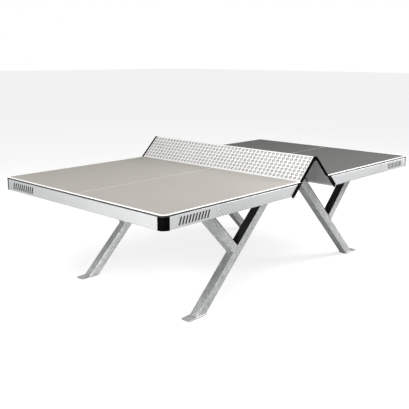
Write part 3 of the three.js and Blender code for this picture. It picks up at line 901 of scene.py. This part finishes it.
def net_trim(label, side):
    """Moulded trim over the ends of both leaves: end plate with a rounded crest, and flanges."""
    outer = LEAF_OUTER + GAP + TRIM_SHEET
    inner = LEAF_INNER - GAP - TRIM_SHEET
    crest = crest_arc(CREST_RADIUS + GAP + TRIM_SHEET - TRIM_INSET)
    plate = mirrored([
        *crest,
        (slope_x(outer, TRIM_FOOT), TRIM_FOOT),
        (slope_x(inner, TRIM_FOOT), TRIM_FOOT),
        (slope_x(inner, RIDGE_BOTTOM), RIDGE_BOTTOM),
    ])
    over = LEAF_OUTER + GAP
    foot = SURFACE + GAP
    outer_flange = mirrored([
        *crest,
        (slope_x(outer, foot), foot),
        (slope_x(over, foot), foot),
        *crest_arc(CREST_RADIUS + GAP)[::-1],
    ])
    under = LEAF_INNER - GAP
    inner_flange = mirrored([
        *crest_arc(CREST_RADIUS - LEAF_SHEET - GAP),
        (slope_x(under, TRIM_FOOT), TRIM_FOOT),
        (slope_x(inner, TRIM_FOOT), TRIM_FOOT),
        (slope_x(inner, RIDGE_BOTTOM), RIDGE_BOTTOM),
    ])
    sketch = Sketch()
    for outline, start, stop in (
        (plate, HALF_WIDTH, HALF_WIDTH + TRIM_PLATE),
        (outer_flange, HALF_WIDTH - TRIM_FLANGE, HALF_WIDTH + 1 * MM),
        (inner_flange, HALF_WIDTH - TRIM_FLANGE, HALF_WIDTH + 1 * MM),
    ):
        sketch.loft([(x, side * start, z) for x, z in outline], [(x, side * stop, z) for x, z in outline])
    node = f"net_trim_{label}"
    make(f"{node}_moulding", sketch, [PLASTIC_LOOK], 1, [node], bevel=0.5 * MM)


# ---- frame under the top ----


def side_rail(turn, side, label):
    half_y, half_z = (RAIL_HIGH.y - RAIL_LOW.y) / 2, (RAIL_HIGH.z - RAIL_LOW.z) / 2
    middle = (RAIL_HIGH.z + RAIL_LOW.z) / 2
    ends = (RAIL_LOW.x, RAIL_HIGH.x)
    sketch = Sketch()
    sketch.pipe(
        rounded_rectangle(half_y, half_z, TUBE_CORNER),
        rounded_rectangle(half_y - RAIL_WALL, half_z - RAIL_WALL, TUBE_CORNER - RAIL_WALL),
        lambda p, end: (ends[end], side * LEG_Y + p[0], middle + p[1]),
    )
    make(f"side_rail_{label}_tube", sketch, [ZINC_LOOK], turn, [f"side_rail_{label}"])


def cross_member(half, turn, where):
    low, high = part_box(f"cross_member_far_{where}")
    half_x, half_z = (high.x - low.x) / 2, (high.z - low.z) / 2
    middle = (high.z + low.z) / 2
    sketch = Sketch()
    sketch.pipe(
        rounded_rectangle(half_x, half_z, TUBE_CORNER),
        rounded_rectangle(half_x - RAIL_WALL, half_z - RAIL_WALL, TUBE_CORNER - RAIL_WALL),
        lambda p, end: (CROSS_POSITIONS[where] + p[0], (2 * end - 1) * high.y, middle + p[1]),
    )
    node = f"cross_member_{half}_{where}"
    make(f"{node}_tube", sketch, [ZINC_LOOK], turn, [node])


# ---- legs ----


def weld(name, turn, path, radius, closed=False):
    """Rippled bead along a path of points."""
    points = []
    corners = path + path[:1] if closed else path
    for a, b in zip(corners, corners[1:]):
        a, b = Vector(a), Vector(b)
        count = max(2, round((b - a).length / (1.6 * MM)))
        points += [a.lerp(b, i / count) for i in range(count)]
    if not closed:
        points.append(Vector(corners[-1]))
    sketch = Sketch()
    loops = []
    sides = 8
    directions = [2 * math.pi * k / sides for k in range(sides)]
    for i, p in enumerate(points):
        before = points[i - 1] if i or closed else p
        after = points[(i + 1) % len(points)] if i < len(points) - 1 or closed else p
        along = (after - before).normalized()
        across = along.orthogonal().normalized()
        other = along.cross(across)
        r = radius * (1 + 0.1 * math.sin(i * math.pi / 2) + 0.05 * math.sin(i * 1.7))
        loops.append(sketch.ring([
            tuple(p + r * (math.cos(angle) * across + math.sin(angle) * other)) for angle in directions
        ]))
    for a, b in zip(loops, loops[1:]):
        sketch.skin(a, b)
    if closed:
        sketch.skin(loops[-1], loops[0])
    else:
        sketch.face(loops[0])
        sketch.face(loops[-1])
    make(name, sketch, [WELD_LOOK], turn, sharp=60)


def leg(turn, side, label):
    """Main bar, branch, liner of the fork, pad, both plates and the welds of one leg. The black of the
    liner and the pad also paints shade: the deep shade inside the fork, and the contact shadow where the
    bar meets the leaf.
    """
    centre = side * LEG_Y
    half = TUBE / 2
    outer = rounded_rectangle(half, half, TUBE_CORNER)
    inner = rounded_rectangle(half - TUBE_WALL, half - TUBE_WALL, TUBE_CORNER - TUBE_WALL)
    foot_top = FOOT_HIGH.z + GAP
    bar_middle = BAR_UPPER - half

    def bar_place(p, end):
        z = BAR_TOP if end else foot_top
        return slope_x(bar_middle + p[0], z), centre + p[1], z

    sketch = Sketch()
    sketch.pipe(outer, inner, bar_place)
    make(f"leg_main_bar_{label}_tube", sketch, [ZINC_LOOK], turn, [f"leg_main_bar_{label}"])

    branch_middle = BRANCH_START + half

    def branch_place(p, end):
        along = branch_middle + p[0]
        if end:
            return branch_x(along, BRANCH_TOP), centre + p[1], BRANCH_TOP
        x, z = slope_point(BAR_UPPER + GAP, along)
        return x, centre + p[1], z

    sketch = Sketch()
    sketch.pipe(outer, inner, branch_place)
    make(f"leg_branch_{label}_tube", sketch, [ZINC_LOOK], turn, [f"leg_branch_{label}"])

    on_bar, on_branch = BAR_UPPER + GAP, BRANCH_START - GAP
    liner = [
        slope_point(on_bar, BEAM_END + 6 * MM),
        slope_point(on_bar + LINER, BEAM_END + 6 * MM),
        slope_point(on_bar + LINER, on_branch - LINER),
        (branch_x(on_branch - LINER, BRANCH_TOP), BRANCH_TOP),
        (branch_x(on_branch, BRANCH_TOP), BRANCH_TOP),
        slope_point(on_bar, on_branch),
    ]
    pad_low, pad_high = BAR_UPPER + GAP, LEAF_INNER - GAP
    pad = [
        slope_point(pad_low, BEAM_END - 1 * MM),
        slope_point(pad_high, BEAM_END - 1 * MM),
        (slope_x(pad_high, BAR_TOP), BAR_TOP),
        (slope_x(pad_low, BAR_TOP), BAR_TOP),
    ]
    reach = half - 0.5 * MM
    # the liner's black paints the deep shade between bar and branch, the pad's black the contact shadow at
    # the leaf
    for kind, outline in (("fork_liner", liner), ("bar_pad", pad)):
        sketch = Sketch()
        sketch.loft(*([(x, y, z) for x, z in outline] for y in (centre - reach, centre + reach)))
        node = f"leg_{kind}_{label}"
        make(f"{node}_rubber_and_painted_shade", sketch, [RUBBER_AND_PAINTED_SHADE_LOOK], turn, [node], bevel=0.5 * MM)

    left, right = centre - half, centre + half
    sketch = Sketch()
    box_between(sketch, (PLATE_LOW.x, left, PLATE_LOW.z), (PLATE_HIGH.x, right, PLATE_HIGH.z))
    node = f"leg_top_plate_{label}"
    make(f"{node}_steel", sketch, [ZINC_LOOK], turn, [node], bevel=1.0 * MM)
    foot_plate(turn, centre, label)

    def rectangle(low_x, high_x, z):
        return [(low_x, left, z), (high_x, left, z), (high_x, right, z), (low_x, right, z)]

    foot_path = rectangle(slope_x(BAR_UPPER - TUBE, foot_top), slope_x(BAR_UPPER, foot_top), foot_top)
    weld(f"leg_foot_weld_{label}", turn, foot_path, WELD, closed=True)
    seam = [slope_point(BAR_UPPER + GAP, BRANCH_START + part) for part in (0, TUBE)]
    (xa, za), (xb, zb) = seam
    weld(f"leg_fork_weld_{label}", turn, [(xb, left, zb), (xb, right, zb)], WELD)
    for name, y in (("left", left + 0.6 * MM), ("right", right - 0.6 * MM)):
        weld(f"leg_fork_seam_{label}_{name}", turn, [(xa, y, za), (xb, y, zb)], 1.3 * MM)
    top_low, top_high = branch_x(BRANCH_START, BRANCH_TOP), branch_x(BRANCH_START + TUBE, BRANCH_TOP)
    top_path = rectangle(top_low, top_high, BRANCH_TOP)
    weld(f"leg_top_weld_{label}", turn, top_path, WELD * 0.8, closed=True)


def foot_plate(turn, centre, label):
    """Base plate with rounded tab corners and a chamfered anchor hole."""
    half_width = (FOOT_HIGH.y - FOOT_LOW.y) / 2
    inner_x, outer_x = FOOT_LOW.x, FOOT_HIGH.x
    top, bottom = FOOT_HIGH.z, FOOT_LOW.z
    edge = 0.8 * MM

    def outline(inset):
        radius = FOOT_CORNER - inset
        corner_x, corner_y = outer_x - FOOT_CORNER, half_width - FOOT_CORNER
        back_x = inner_x + FOOT_CORNER
        return [
            *arc(back_x, -corner_y, radius, math.pi, 3 * math.pi / 2, 4),
            *arc(corner_x, -corner_y, radius, -math.pi / 2, 0, 4),
            *arc(corner_x, corner_y, radius, 0, math.pi / 2, 4),
            *arc(back_x, corner_y, radius, math.pi / 2, math.pi, 4),
        ]

    def hole(grow):
        """As many points as the outline, each towards the outline's own point."""
        radius = ANCHOR_RADIUS + grow
        angles = [math.atan2(y, x - ANCHOR_X) for x, y in outline(0)]
        return [(ANCHOR_X + radius * math.cos(angle), radius * math.sin(angle)) for angle in angles]

    sketch = Sketch()
    plan = [
        (outline(edge), bottom),
        (outline(0), bottom + edge),
        (outline(0), top - edge),
        (outline(edge), top),
        (hole(edge), top),
        (hole(0), top - edge),
        (hole(0), bottom),
    ]
    loops = [sketch.ring([(x, centre + y, z) for x, y in points]) for points, z in plan]
    for a, b in zip(loops, loops[1:]):
        sketch.skin(a, b)
    sketch.skin(loops[-1], loops[0])
    node = f"leg_foot_plate_{label}"
    make(f"{node}_steel", sketch, [ZINC_LOOK], turn, [node])


# ---- the table ----

SIDE_PRINT_LOOK = side_print("apron_coat_side_print", SILVER)

for half, turn in (("near", -1), ("far", 1)):
    half_top(half, turn)
    end_apron(half, turn)
    net_leaf(half, turn)
    net_beam(half, turn)
    for where in CROSS_POSITIONS:
        cross_member(half, turn, where)
    for side in (-1, 1):
        label = f"{half}_{'left' if side * turn > 0 else 'right'}"
        side_apron(half, turn, side, label)
        corner_cap(turn, side, label)
        beam_cap(turn, side, label)
        side_rail(turn, side, label)
        leg(turn, side, label)
net_trim("left", 1)
net_trim("right", -1)
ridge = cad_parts["net_ridge"]
ridge.data.materials.clear()
ridge.data.materials.append(APRON_LOOK)


# ---- floor, light and camera ----


FLOOR_BOUNCE = 0.4
FLOOR_VARIATION = 0.01
FLOOR_GLOW = 0.74
FLOOR_REACH = 60
FLOOR_DROP = 0.2 * MM  # below the feet


def floor():
    """Pale floor. The camera sees it with a glow added; every other ray sees the plain surface."""
    mesh = bpy.data.meshes.new("studio_floor")
    corners = [(x * FLOOR_REACH, y * FLOOR_REACH, 0) for x, y in ((-1, -1), (1, -1), (1, 1), (-1, 1))]
    mesh.from_pydata(corners, [], [(0, 1, 2, 3)])
    plane = bpy.data.objects.new("studio_floor", mesh)
    bpy.context.scene.collection.objects.link(plane)
    plane.location.z = -FLOOR_DROP
    look = Look("studio_floor", (FLOOR_BOUNCE,) * 3, 0.8, specular=0.1)
    tone = look.noise(3.0, 2, 0.5)
    dark, light = (FLOOR_BOUNCE - FLOOR_VARIATION,) * 3, (FLOOR_BOUNCE + FLOOR_VARIATION,) * 3
    look.colour(look.mix(look.remap(tone, 0.3, 0.7), dark, light))
    glow = look.nodes.new("ShaderNodeEmission")
    glow.inputs["Strength"].default_value = FLOOR_GLOW
    lit = look.nodes.new("ShaderNodeAddShader")
    seen = look.nodes.new("ShaderNodeLightPath")
    choice = look.nodes.new("ShaderNodeMixShader")
    output = look.nodes["Material Output"].inputs["Surface"]
    look.links.new(look.shader.outputs["BSDF"], lit.inputs[0])
    look.links.new(glow.outputs["Emission"], lit.inputs[1])
    look.links.new(seen.outputs["Is Camera Ray"], choice.inputs["Fac"])
    look.links.new(look.shader.outputs["BSDF"], choice.inputs[1])
    look.links.new(lit.outputs["Shader"], choice.inputs[2])
    look.links.new(choice.outputs["Shader"], output)
    mesh.materials.append(look.material)


def area_light(name, place, target, size, power):
    light = bpy.data.lights.new(name, "AREA")
    light.shape = "RECTANGLE"
    light.size, light.size_y = size
    light.energy = power
    lamp = bpy.data.objects.new(name, light)
    lamp.visible_camera = False
    lamp.location = place
    lamp.rotation_euler = (Vector(target) - Vector(place)).to_track_quat("-Z", "Y").to_euler()
    bpy.context.scene.collection.objects.link(lamp)


floor()

# name: place, target, size and power of each softbox
SOFTBOXES = {
    "left_front": ((-4.6, -1.4, 2.2), (-1.0, -0.3, 0.7), (2.5, 2), 18),
    "left_up": ((-3.6, -0.4, 3.8), (-0.9, -0.2, 0.7), (2, 2), 140),
    "overhead": ((0.25, -0.85, 2.5), (0.15, -0.55, 0.7), (1.2, 1), 23),
    "right_back": ((3.6, -2.9, 2.9), (0.6, -0.3, 0.7), (2.5, 2), 235),
    "camera_side": ((-2.4, -4.6, 1.6), (-0.4, -0.4, 0.6), (2.5, 2), 4),
    "right_low": ((-0.8, -5.0, 0.5), (-0.5, 0, 0.35), (3, 0.8), 15),
    "end_low": ((-2.9, -1.35, 0.74), (-1.37, -0.3, 0.72), (0.6, 0.4), 21),
    "under_table": ((-0.75, -0.3, 0.3), (-0.85, 0.5, 0.34), (0.7, 0.4), 4),
}
for name, (place, target, size, power) in SOFTBOXES.items():
    area_light(name, place, target, size, power)

# the camera sees a white backdrop, every other ray a dimmer ambient
AMBIENT = 0.34
world = bpy.data.worlds.new("studio")
bpy.context.scene.world = world
world.use_nodes = True
tree = world.node_tree
ambient = tree.nodes["Background"]
ambient.inputs["Color"].default_value = (1, 1, 1, 1)
ambient.inputs["Strength"].default_value = AMBIENT
backdrop = tree.nodes.new("ShaderNodeBackground")
backdrop.inputs["Color"].default_value = (1, 1, 1, 1)
seen = tree.nodes.new("ShaderNodeLightPath")
choice = tree.nodes.new("ShaderNodeMixShader")
tree.links.new(seen.outputs["Is Camera Ray"], choice.inputs["Fac"])
tree.links.new(ambient.outputs["Background"], choice.inputs[1])
tree.links.new(backdrop.outputs["Background"], choice.inputs[2])
tree.links.new(choice.outputs["Shader"], tree.nodes["World Output"].inputs["Surface"])
bpy.context.scene.view_settings.view_transform = "Standard"

CAMERA_PLACE = (-3.41971, -2.94343, 1.5343)
CAMERA_YAW = math.radians(42.8392)
CAMERA_PITCH = math.radians(13.3964)
CAMERA_ROLL = math.radians(0.2222)
CAMERA_LENS = 54.383
CAMERA_SENSOR = 36

forward = Vector((
    math.cos(CAMERA_PITCH) * math.cos(CAMERA_YAW),
    math.cos(CAMERA_PITCH) * math.sin(CAMERA_YAW),
    -math.sin(CAMERA_PITCH),
))
level = forward.cross(Vector((0, 0, 1))).normalized()
upright = level.cross(forward)
right = math.cos(CAMERA_ROLL) * level + math.sin(CAMERA_ROLL) * upright
up = math.cos(CAMERA_ROLL) * upright - math.sin(CAMERA_ROLL) * level
camera_data = bpy.data.cameras.new("camera")
camera_data.lens = CAMERA_LENS
camera_data.sensor_width = CAMERA_SENSOR
camera_data.dof.use_dof = False
camera = bpy.data.objects.new("camera", camera_data)
camera.matrix_world = Matrix.Translation(CAMERA_PLACE) @ Matrix((right, up, -forward)).transposed().to_4x4()
bpy.context.scene.collection.objects.link(camera)
bpy.context.scene.camera = camera
